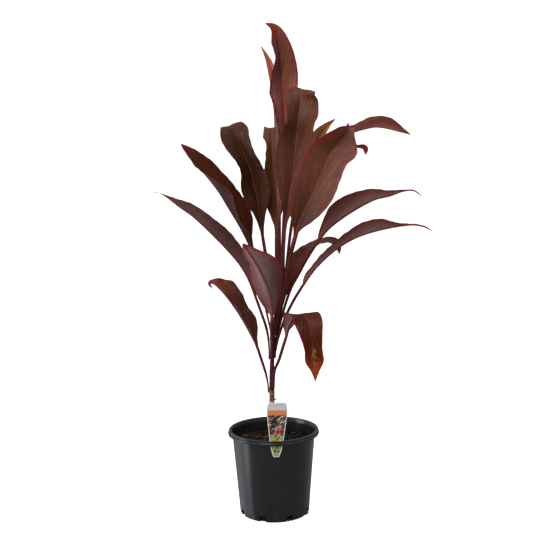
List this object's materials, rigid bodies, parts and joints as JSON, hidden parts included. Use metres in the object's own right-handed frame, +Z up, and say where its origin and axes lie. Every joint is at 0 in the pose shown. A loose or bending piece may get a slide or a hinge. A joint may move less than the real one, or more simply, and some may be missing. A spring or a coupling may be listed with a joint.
{
  "type": "potted ti plant",
  "caption": "Upright ti plant with long folded bronze and mauve leaves on red petioles around a ringed cane, in a round black nursery pot with potting mix and a push-in tag.",
  "frame": {"origin": "middle of the pot's foot, on the surface that it stands on", "axes": "+Z up along the pot's axis, -Y towards the plant's front, +X to its right seen from the front"},
  "size_m": [0.5945, 0.295, 1.0598],
  "materials": {
    "pot_plastic": "satin",
    "bark_mix": "matte",
    "cane_bark": "matte",
    "tag_plastic": "satin",
    "leaf_bronze": "satin",
    "leaf_olive": "satin",
    "leaf_mauve": "satin",
    "leaf_amber": "satin"
  },
  "bodies": {
    "root": {"pot": "pot_plastic", "potting_mix": "bark_mix", "stem": "cane_bark", "plant_tag": "tag_plastic", "leaf_top_spear": "leaf_bronze", "leaf_top_rear": "leaf_bronze", "leaf_front_tall": "leaf_bronze", "leaf_front_broad": "leaf_bronze", "leaf_upper_right": "leaf_bronze", "leaf_small_bronze": "leaf_olive", "leaf_left_arching": "leaf_olive", "leaf_rear_olive": "leaf_olive", "leaf_rear_right_olive": "leaf_olive", "leaf_left_spear": "leaf_mauve", "leaf_left_long": "leaf_mauve", "leaf_front_mauve": "leaf_mauve", "leaf_low_left": "leaf_mauve", "leaf_right_long_upper": "leaf_mauve", "leaf_right_long_lower": "leaf_mauve", "leaf_low_right_folded": "leaf_amber"}
  },
  "joints": []
}
